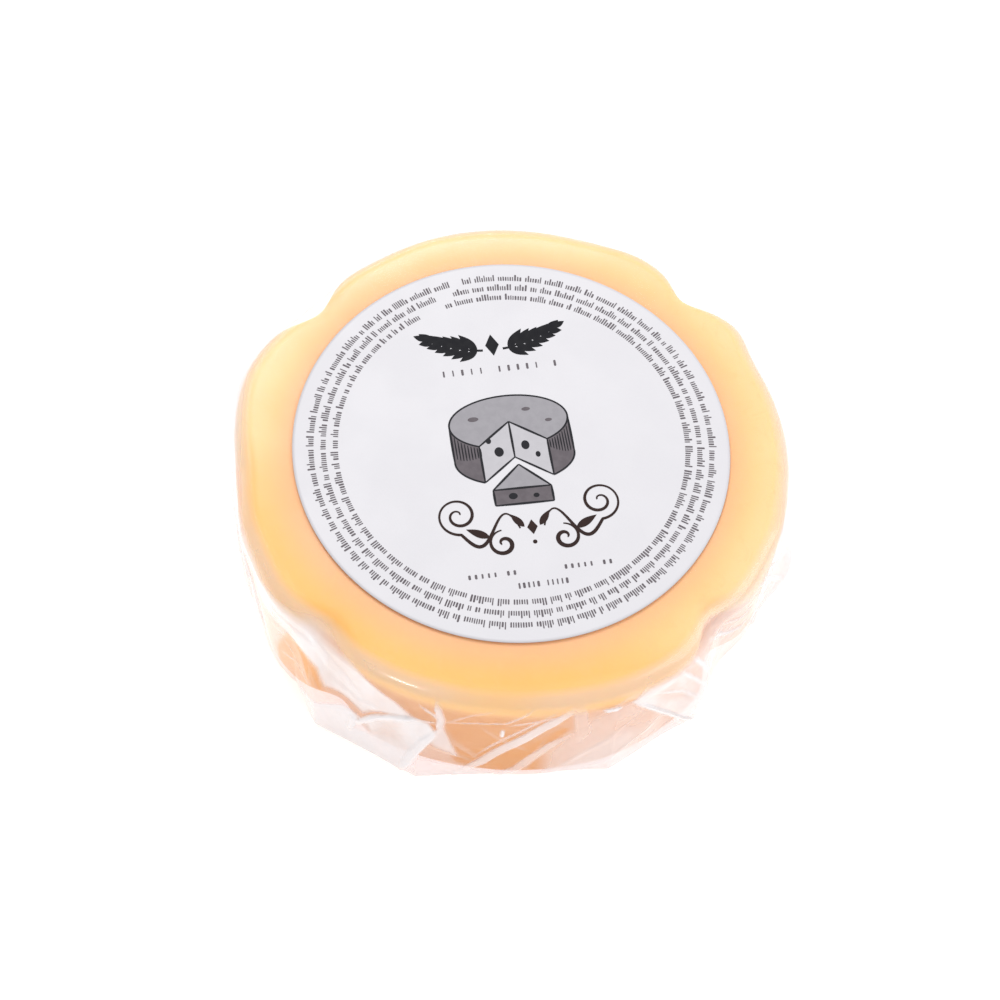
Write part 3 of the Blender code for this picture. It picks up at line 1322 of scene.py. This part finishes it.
class Ink(Enum):
    """Shades of ink on the label."""

    DARK = "ink_dark"
    BROWN = "ink_brown"
    GREY = "ink_grey"
    PALE = "ink_pale"
    LIGHT = "ink_light"
    BLACK = "ink_black"


INKS = {
    Ink.DARK: InkFinish(Ink.DARK.value, (0.012, 0.012, 0.016, 1.0), (0.030, 0.030, 0.036, 1.0)),
    Ink.BROWN: InkFinish(Ink.BROWN.value, (0.022, 0.010, 0.009, 1.0), (0.050, 0.028, 0.024, 1.0)),
    Ink.GREY: InkFinish(Ink.GREY.value, (0.115, 0.100, 0.112, 1.0), (0.190, 0.170, 0.185, 1.0)),
    Ink.PALE: InkFinish(Ink.PALE.value, (0.300, 0.290, 0.315, 1.0), (0.380, 0.370, 0.395, 1.0)),
    Ink.LIGHT: InkFinish(Ink.LIGHT.value, (0.470, 0.460, 0.490, 1.0), (0.540, 0.530, 0.560, 1.0)),
    Ink.BLACK: InkFinish(Ink.BLACK.value, (0.006, 0.006, 0.009, 1.0), (0.014, 0.014, 0.018, 1.0)),
}


@dataclass
class LabelPrint:
    """Plain printed marks on the label: rings of small ticks and a simple emblem."""

    label: PaperLabel
    lift: float = 0.02
    shapes: dict[Ink, list[Array]] = field(default_factory=dict)

    def stamp(self, ink: Ink, outline: Array) -> None:
        """Add one flat convex shape.

        Args:
            ink: shade.
            outline: corner points in the label's own plane, in mm.
        """
        self.shapes.setdefault(ink, []).append(outline)

    def tick(self, ink: Ink, x: float, y: float, wide: float, tall: float, turn: float) -> None:
        """Add a small round-cornered block.

        Args:
            ink: shade.
            x: middle, across.
            y: middle, up.
            wide: width.
            tall: height.
            turn: rotation in degrees.
        """
        cut = 0.28 * min(wide, tall)
        a, b = wide / 2.0, tall / 2.0
        corners = [(-a + cut, -b), (a - cut, -b), (a, -b + cut), (a, b - cut)]
        corners += [(a - cut, b), (-a + cut, b), (-a, b - cut), (-a, -b + cut)]
        self.stamp(ink, turned(np.array(corners), turn) + np.array([x, y]))

    def ring_of_ticks(self, radius: float, seed: int, start: float, span: float) -> None:
        """Run small ticks in word-like groups round a circle.

        Args:
            radius: circle radius in mm.
            seed: random seed.
            start: first angle in degrees.
            span: how far round the ticks go, in degrees.
        """
        draw = np.random.default_rng(seed)
        travelled = 0.0
        left = int(draw.integers(3, 9))
        while travelled < math.radians(span) * radius:
            wide = float(draw.choice([0.20, 0.26, 0.34], p=[0.45, 0.35, 0.20]))
            tall = float(draw.choice([0.92, 1.00, 1.42], p=[0.40, 0.30, 0.30]))
            middle = travelled + wide / 2.0
            angle = math.radians(start) - middle / radius
            reach = radius + (tall - 0.92) / 2.0
            x, y = reach * math.cos(angle), reach * math.sin(angle)
            self.tick(Ink.GREY, x, y, wide, tall, math.degrees(angle) - 90.0)
            travelled += wide + 0.21
            left -= 1
            if left == 0:
                travelled += 0.55
                left = int(draw.integers(2, 11))

    def line_of_ticks(self, y: float, x0: float, x1: float, tall: float, pitch: float) -> None:
        """Spaced small ticks along a straight line.

        Args:
            y: height of the line.
            x0: left end.
            x1: right end.
            tall: height of a tick.
            pitch: distance from tick to tick.
        """
        draw = np.random.default_rng(int(abs(y) * 10))
        count = int((x1 - x0) / pitch)
        for index in range(count):
            if index % 6 == 5:
                continue
            wide = float(draw.choice([0.24, 0.32, 0.44]))
            self.tick(Ink.GREY, x0 + (index + 0.5) * pitch, y, wide, tall, 0.0)

    def stroke(self, ink: Ink, spine: Array, widths: Array) -> None:
        """Brush stroke along a spine.

        Args:
            ink: shade.
            spine: points along the middle, in mm.
            widths: full width at each point, in mm.
        """
        along = np.gradient(spine, axis=0)
        along = along / np.maximum(np.linalg.norm(along, axis=1, keepdims=True), 1e-9)
        side = np.stack([-along[:, 1], along[:, 0]], axis=1) * widths[:, None] / 2.0
        left, right = spine + side, spine - side
        for index in range(len(spine) - 1):
            quad = [right[index], right[index + 1], left[index + 1], left[index]]
            self.stamp(ink, np.array(quad))

    def disc(self, ink: Ink, x: float, y: float, wide: float, tall: float) -> None:
        """Add a filled ellipse.

        Args:
            ink: shade.
            x: middle, across.
            y: middle, up.
            wide: width.
            tall: height.
        """
        turn = np.linspace(0.0, 2.0 * math.pi, 40, endpoint=False)
        points = np.stack([x + wide / 2.0 * np.cos(turn), y + tall / 2.0 * np.sin(turn)], axis=1)
        self.stamp(ink, points)

    def leaf(self, ink: Ink, x: float, y: float, long: float, wide: float, turn: float) -> None:
        """Add a pointed leaf.

        Args:
            ink: shade.
            x: base of the leaf, across.
            y: base of the leaf, up.
            long: length.
            wide: width.
            turn: direction in degrees.
        """
        run = np.linspace(0.0, 1.0, 12)
        half = 0.5 * wide * np.sin(math.pi * run**0.8)
        there = np.stack([run * long, half], axis=1)
        back = np.stack([run[::-1] * long, -half[::-1]], axis=1)
        outline = np.concatenate([there, back[1:-1]])
        self.stamp(ink, turned(outline, turn) + np.array([x, y]))

    def sprig(self) -> None:
        """Two leafy sprigs and a diamond above the emblem."""
        middle = -0.4
        for side in (-1.0, 1.0):
            run = np.linspace(0.0, 1.0, 24)
            x = middle + side * (1.9 + 10.2 * run)
            y = 20.6 + 3.6 * run**1.6
            self.stroke(Ink.BLACK, np.stack([x, y], axis=1), 0.50 - 0.20 * run)
            for index in range(6):
                t = 0.10 + 0.158 * index
                at_x = middle + side * (1.9 + 10.2 * t)
                at_y = 20.6 + 3.6 * t**1.6
                size = 5.0 - 0.36 * index
                up_turn, down_turn = 52.0 - 2.0 * index, -30.0 + 5.0 * index
                if side < 0.0:
                    up_turn, down_turn = 180.0 - up_turn, 180.0 - down_turn
                self.leaf(Ink.BLACK, at_x, at_y, size, 1.75, up_turn)
                self.leaf(Ink.BLACK, at_x, at_y, size * 0.84, 1.55, down_turn)
            tip_turn = 26.0 if side > 0.0 else 154.0
            self.leaf(Ink.BLACK, middle + side * 12.1, 24.2, 2.6, 1.3, tip_turn)
        diamond = np.array([(0.0, -2.4), (1.3, 0.0), (0.0, 2.4), (-1.3, 0.0)])
        self.stamp(Ink.BLACK, diamond + np.array([middle, 21.6]))

    def wheel_sector(self, ink: Ink, middle: tuple[float, float], start: float, end: float) -> None:
        """Top face of the drawn cheese between two angles, as thin triangles.

        Args:
            ink: shade.
            middle: middle of the ellipse.
            start: first angle in degrees.
            end: last angle in degrees.
        """
        turn = np.radians(np.linspace(start, end, 40))
        rim = np.stack([11.0 * np.cos(turn), 5.6 * np.sin(turn)], axis=1) + np.array(middle)
        for first, second in zip(rim[:-1], rim[1:]):
            self.stamp(ink, np.array([middle, first, second]))

    def wheel_band(self, ink: Ink, middle: tuple[float, float], start: float, end: float) -> None:
        """Side of the drawn cheese between two angles.

        Args:
            ink: shade.
            middle: middle of the upper ellipse.
            start: first angle in degrees.
            end: last angle in degrees.
        """
        turn = np.radians(np.linspace(start, end, 40))
        rim = np.stack([11.0 * np.cos(turn), 5.6 * np.sin(turn)], axis=1) + np.array(middle)
        drop = np.array([0.0, -7.6])
        for first, second in zip(rim[:-1], rim[1:]):
            self.stamp(ink, np.array([first + drop, second + drop, second, first]))

    def arc(self, ink: Ink, middle: tuple[float, float], start: float, end: float) -> None:
        """Thin outline along the drawn ellipse."""
        turn = np.radians(np.linspace(start, end, 60))
        rim = np.stack([11.0 * np.cos(turn), 5.6 * np.sin(turn)], axis=1) + np.array(middle)
        self.stroke(ink, rim, np.full(60, 0.34))

    def line(self, ink: Ink, a: tuple[float, float], b: tuple[float, float], wide: float) -> None:
        """Straight stroke that thins a little at its ends."""
        run = np.linspace(0.0, 1.0, 8)[:, None]
        spine = np.array(a) * (1.0 - run) + np.array(b) * run
        self.stroke(ink, spine, wide * (0.6 + 0.4 * np.sin(math.pi * run[:, 0])))

    def emblem(self) -> None:
        """A plain drawing of a cheese wheel with one slice taken out."""
        heart = (0.0, 4.6)
        cut_a, cut_b = 236.0, 306.0
        rim_a = (11.0 * math.cos(math.radians(cut_a)), 4.6 + 5.6 * math.sin(math.radians(cut_a)))
        rim_b = (11.0 * math.cos(math.radians(cut_b)), 4.6 + 5.6 * math.sin(math.radians(cut_b)))
        low = -7.6
        self.wheel_sector(Ink.PALE, heart, cut_b - 360.0, cut_a)
        self.wheel_band(Ink.GREY, heart, 180.0, cut_a)
        self.wheel_band(Ink.GREY, heart, cut_b, 360.0)
        for rim in (rim_a, rim_b):
            inner = [heart, (heart[0], heart[1] + low), (rim[0], rim[1] + low), rim]
            self.stamp(Ink.LIGHT, np.array(inner))
            self.line(Ink.DARK, heart, rim, 0.45)
            self.line(Ink.DARK, rim, (rim[0], rim[1] + low), 0.45)
            self.line(Ink.DARK, (heart[0], heart[1] + low), (rim[0], rim[1] + low), 0.40)
        self.line(Ink.DARK, heart, (heart[0], heart[1] + low), 0.45)
        self.arc(Ink.DARK, heart, cut_b - 360.0, cut_a)
        lower = (heart[0], heart[1] + low)
        self.arc(Ink.DARK, lower, 180.0, cut_a)
        self.arc(Ink.DARK, lower, cut_b, 360.0)
        self.line(Ink.DARK, (-11.0, 4.6), (-11.0, 4.6 + low), 0.45)
        self.line(Ink.DARK, (11.0, 4.6), (11.0, 4.6 + low), 0.45)
        for x, y, wide, tall in (
            (-2.7, -1.6, 1.7, 2.0),
            (-4.3, 0.9, 1.0, 1.2),
            (2.3, -0.7, 1.5, 1.9),
            (4.3, -2.9, 0.9, 1.2),
            (-6.4, 5.8, 2.0, 1.0),
            (3.6, 6.9, 1.6, 0.8),
            (7.4, 4.1, 1.3, 0.7),
        ):
            self.disc(Ink.DARK if y < 4.0 else Ink.GREY, x, y, wide, tall)
        for index in range(9):
            x = -10.4 + 0.55 * index
            reach = 5.6 * math.sqrt(max(0.0, 1.0 - (x / 11.0) ** 2))
            self.line(Ink.DARK, (x, 4.2 - reach), (x, 4.2 - reach - 4.6 + 0.35 * index), 0.26)
            x = 10.4 - 0.5 * index
            reach = 5.6 * math.sqrt(max(0.0, 1.0 - (x / 11.0) ** 2))
            self.line(Ink.DARK, (x, 4.2 - reach), (x, 4.2 - reach - 5.2 + 0.5 * index), 0.26)

    def cut_slice(self) -> None:
        """The slice taken out, drawn in front of the wheel."""
        tip, left, right = (0.4, -4.6), (-5.0, -9.4), (5.6, -9.6)
        low = np.array([0.0, -3.2])
        self.stamp(Ink.PALE, np.array([left, right, tip]))
        front = [np.array(left) + low, np.array(right) + low, np.array(right), np.array(left)]
        self.stamp(Ink.GREY, np.array(front))
        self.line(Ink.DARK, left, tip, 0.45)
        self.line(Ink.DARK, tip, right, 0.45)
        self.line(Ink.DARK, left, right, 0.45)
        self.line(Ink.DARK, left, tuple(front[0]), 0.45)
        self.line(Ink.DARK, right, tuple(front[1]), 0.45)
        self.line(Ink.DARK, tuple(front[0]), tuple(front[1]), 0.45)
        self.disc(Ink.DARK, -1.6, -11.0, 1.6, 1.3)
        self.disc(Ink.DARK, 2.6, -11.3, 1.1, 0.9)

    def flourish(self) -> None:
        """A symmetrical pair of scrolls round a diamond, below the emblem."""
        middle, level = 0.8, -17.6
        for side in (-1.0, 1.0):
            run = np.linspace(0.0, 1.0, 90)
            x = middle + side * (2.2 + 10.6 * run)
            y = level + 3.4 * np.sin(2.0 * math.pi * run**0.9) * (1.0 - 0.25 * run)
            curl = np.linspace(0.0, 1.0, 130)
            turn = math.pi * (-0.5 + 3.3 * curl)
            size = 3.5 * (1.0 - curl) ** 0.8 + 0.35
            heart_y = y[-1] + 3.85
            curl_x = middle + side * (12.8 + size * np.cos(turn))
            curl_y = heart_y + size * np.sin(turn)
            path_x = np.concatenate([x[:-1], curl_x])
            path_y = np.concatenate([y[:-1], curl_y])
            t = np.linspace(0.0, 1.0, len(path_x))
            wide = 0.30 + 0.80 * np.sin(math.pi * t) ** 2 * (0.55 + 0.45 * np.sin(9.0 * t))
            self.stroke(Ink.BROWN, np.stack([path_x, path_y], axis=1), wide)
            turn = math.pi * (0.5 - 2.6 * curl)
            size = 2.4 * (1.0 - curl) ** 0.9 + 0.30
            inner_x = middle + side * (5.6 + size * np.cos(turn))
            inner_y = level - 2.7 + size * np.sin(turn)
            wide = 0.25 + 0.55 * np.sin(math.pi * curl)
            self.stroke(Ink.BROWN, np.stack([inner_x, inner_y], axis=1), wide)
            self.leaf(Ink.BROWN, middle + side * 7.8, level - 1.2, 4.6, 1.5, 90.0 - side * 62.0)
            self.leaf(Ink.BROWN, middle + side * 1.4, level + 0.2, 3.6, 1.3, 90.0 - side * 38.0)
        self.stamp(
            Ink.BROWN, np.array([(0.0, -1.5), (0.95, 0.0), (0.0, 1.5), (-0.95, 0.0)]) + [middle, level]
        )
        self.disc(Ink.BROWN, middle, level - 3.0, 0.8, 0.8)

    def lay_out(self) -> None:
        """Place every printed mark."""
        self.ring_of_ticks(36.6, 21, 96.0, 356.0)
        self.ring_of_ticks(34.4, 22, 100.0, 354.0)
        self.ring_of_ticks(32.2, 23, 104.0, 350.0)
        self.sprig()
        self.line_of_ticks(16.2, -11.2, 12.0, 1.3, 1.75)
        self.emblem()
        self.cut_slice()
        self.flourish()
        self.line_of_ticks(-26.2, -12.4, -2.6, 0.9, 1.15)
        self.line_of_ticks(-26.2, 4.8, 14.8, 0.9, 1.15)
        self.line_of_ticks(-28.9, -3.8, 6.2, 1.1, 0.85)

    def build(self) -> list[bpy.types.Object]:
        """Make one piece for each ink.

        Returns:
            The objects.
        """
        self.lay_out()
        pieces = []
        for ink, outlines in self.shapes.items():
            points: list[Array] = []
            faces: list[tuple[int, ...]] = []
            for level, outline in enumerate(outlines):
                flat = turned(outline, self.label.turn)
                radius = np.hypot(flat[:, 0], flat[:, 1])
                degrees = np.degrees(np.arctan2(flat[:, 1], flat[:, 0]))
                rank = list(INKS).index(ink)
                up = self.label.surface(radius, degrees) + self.lift
                up = up + 0.004 * (5 - rank) + 0.00008 * (level % 40)
                first = sum(len(block) for block in points)
                points.append(self.label.outline.place(radius, degrees, up))
                faces.append(tuple(range(first, first + len(outline))))
            name = "print_" + ink.value
            piece = mesh_piece(name, np.concatenate(points), faces, INKS[ink].build())
            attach(piece, "root")
            pieces.append(piece)
        return pieces


# --------------------------------------------------------------------------
# Studio
# --------------------------------------------------------------------------


@dataclass(frozen=True)
class Softbox:
    """One area light, aimed at the round."""

    name: str
    position: tuple[float, float, float]
    size: float
    power: float
    colour: tuple[float, float, float] = (1.0, 1.0, 1.0)


@dataclass
class Studio:
    """Pale floor, even white surroundings, soft lights and the camera."""

    outline: RoundOutline
    distance: float = 8.973
    elevation: float = 59.24
    roll: float = 6.2
    lens: float = 70.72
    shift: tuple[float, float] = (-0.0123, -0.0567)
    world_strength: float = 0.66
    boxes: tuple[Softbox, ...] = (
        Softbox("key", (-0.20, 0.55, 0.75), 0.55, 4.6, (1.0, 0.99, 0.98)),
        Softbox("fill", (0.62, -0.05, 0.55), 0.55, 2.2),
        Softbox("glint", (-0.30, -0.60, 0.45), 0.10, 0.7),
    )

    def light(self) -> None:
        """Set the surroundings and the lights."""
        world = bpy.data.worlds.new("studio_white")
        world.use_nodes = True
        shade = world.node_tree.nodes["Background"]
        shade.inputs["Color"].default_value = (1.0, 1.0, 1.0, 1.0)
        shade.inputs["Strength"].default_value = self.world_strength
        bpy.context.scene.world = world
        for box in self.boxes:
            data = bpy.data.lights.new(box.name, "AREA")
            data.shape = "SQUARE"
            data.size = box.size
            data.energy = box.power
            data.color = box.colour
            lamp = bpy.data.objects.new(box.name, data)
            lamp.location = box.position
            aim = Vector((0.0, 0.0, 0.015)) - Vector(box.position)
            lamp.rotation_euler = aim.to_track_quat("-Z", "Y").to_euler()
            bpy.context.scene.collection.objects.link(lamp)

    def floor(self) -> bpy.types.Object:
        """Lay the floor.

        Returns:
            The floor object.
        """
        material, sketch, output = new_material("studio_floor")
        where = sketch.add("TexCoord").outputs["Object"]
        mottle = MottleGroup.place(sketch, where, 3.0, 60.0, 0.2)
        shade = sketch.maths("MULTIPLY", mottle.outputs["Cloud"], 0.2)
        colour = sketch.blend(shade, (0.93, 0.93, 0.93, 1.0), (0.92, 0.92, 0.925, 1.0))
        shader = sketch.add("BsdfPrincipled", Roughness=0.9)
        sketch.feed(shader, "Base Color", colour)
        shader.inputs["Specular IOR Level"].default_value = 0.1
        shader.inputs["Emission Color"].default_value = (1.0, 1.0, 1.0, 1.0)
        shader.inputs["Emission Strength"].default_value = 0.45
        sketch.tree.links.new(shader.outputs[0], output.inputs["Surface"])
        side = 3.0
        points = np.array([(-side, -side, 0), (side, -side, 0), (side, side, 0), (-side, side, 0)])
        piece = mesh_piece("studio_floor", points.astype(float), [(0, 1, 2, 3)], material)
        return piece

    def camera(self) -> None:
        """Place the camera above and in front, turned a little about its own axis."""
        shape = self.outline
        target = Vector((shape.label_x, shape.label_y, shape.height)) * MM
        tilt = math.radians(self.elevation)
        away = Vector((0.0, -math.cos(tilt), math.sin(tilt)))
        spot = target + away * (self.distance * 40.0 * MM)
        turn = away.to_track_quat("Z", "Y").to_matrix().to_4x4()
        spin = Matrix.Rotation(math.radians(self.roll), 4, "Z")
        data = bpy.data.cameras.new("camera")
        data.lens = self.lens
        data.sensor_width = 36.0
        data.shift_x, data.shift_y = self.shift
        data.clip_start = 0.01
        piece = bpy.data.objects.new("camera", data)
        piece.matrix_world = Matrix.Translation(spot) @ turn @ spin
        bpy.context.scene.collection.objects.link(piece)
        bpy.context.scene.camera = piece

    def build(self) -> None:
        """Set up the whole studio."""
        view = bpy.context.scene.view_settings
        view.view_transform = "Standard"
        self.light()
        self.floor()
        self.camera()


def main() -> None:
    """Build every piece in order and note the sizes."""
    logging.basicConfig(level=logging.INFO, format="%(name)s: %(message)s")
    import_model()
    outline = RoundOutline.from_frame()
    label = PaperLabel(outline)
    pieces = [CheeseRound(outline).build(), FilmWrap(outline).build(), label.build()]
    pieces += LabelPrint(label).build()
    for piece in pieces:
        LOG.info("%s: %d faces", piece.name, len(piece.data.polygons))
    Studio(outline).build()


if __name__ == "__main__":
    main()
